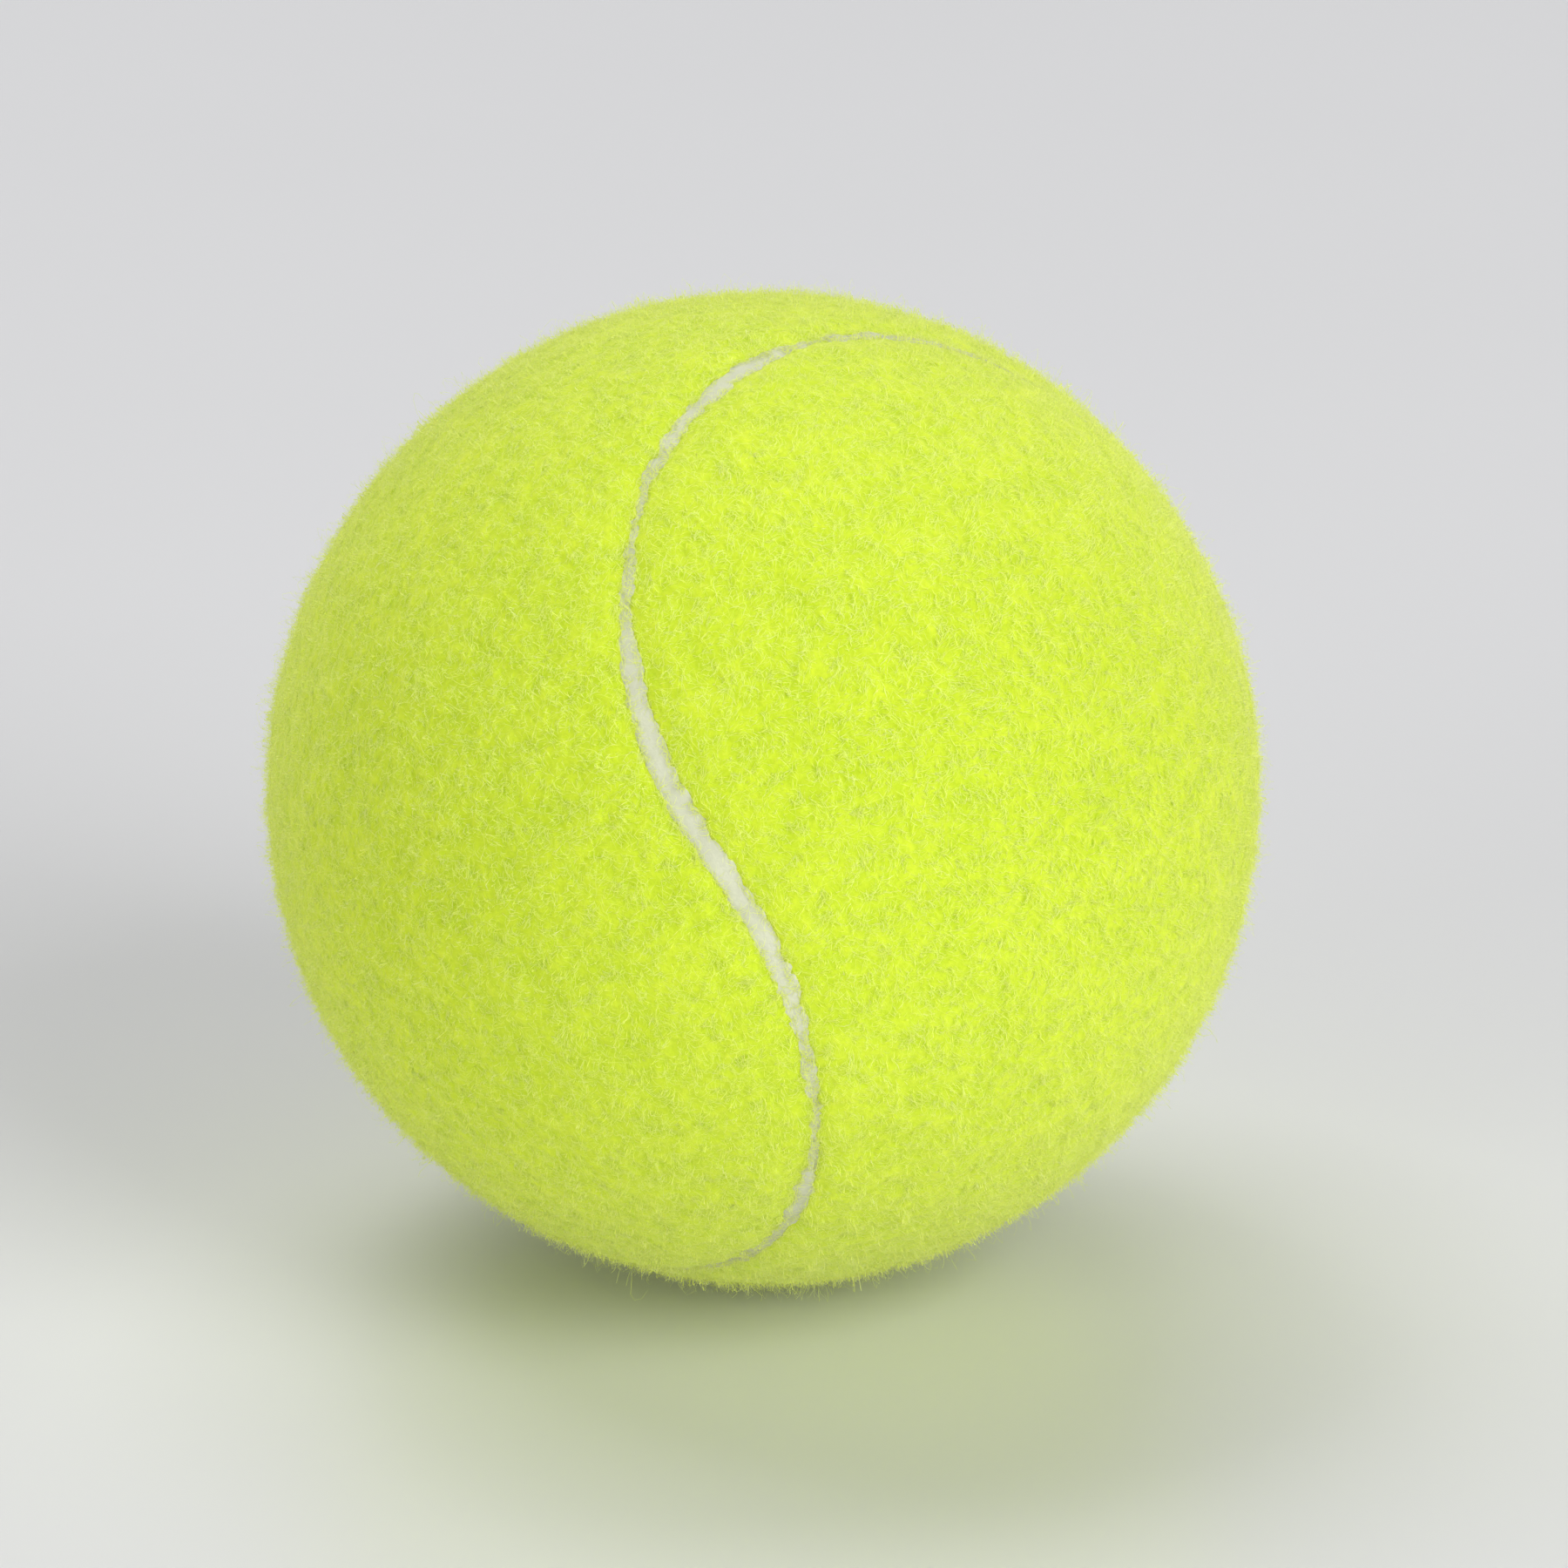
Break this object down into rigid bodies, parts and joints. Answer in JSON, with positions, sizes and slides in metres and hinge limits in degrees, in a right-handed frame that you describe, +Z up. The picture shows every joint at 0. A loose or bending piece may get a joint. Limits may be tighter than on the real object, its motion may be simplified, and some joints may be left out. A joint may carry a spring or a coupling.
{
  "type": "tennis ball",
  "caption": "Hollow rubber ball covered in interlocking dumbbell-shaped panels of yellow-green felt, with a pale recessed seam.",
  "frame": {"origin": "centre of the ball", "axes": "+Z up, square to the joint between the core's halves; the picture looks along +Y, about 20 degrees down"},
  "size_m": [0.067, 0.067, 0.067],
  "materials": {
    "felt_nap": "matte",
    "felt_base_cloth": "matte",
    "seam_rubber": "matte",
    "rubber_cement": "satin",
    "core_rubber": "matte"
  },
  "bodies": {
    "root": {"core_half_upper": "core_rubber", "core_half_lower": "core_rubber", "core_joint_cement": "rubber_cement", "cover_cement_coat": "rubber_cement", "panel_a_base_cloth": "felt_base_cloth", "panel_a_nap": "felt_nap", "panel_b_base_cloth": "felt_base_cloth", "panel_b_nap": "felt_nap", "seam_cement": "seam_rubber"}
  },
  "joints": []
}
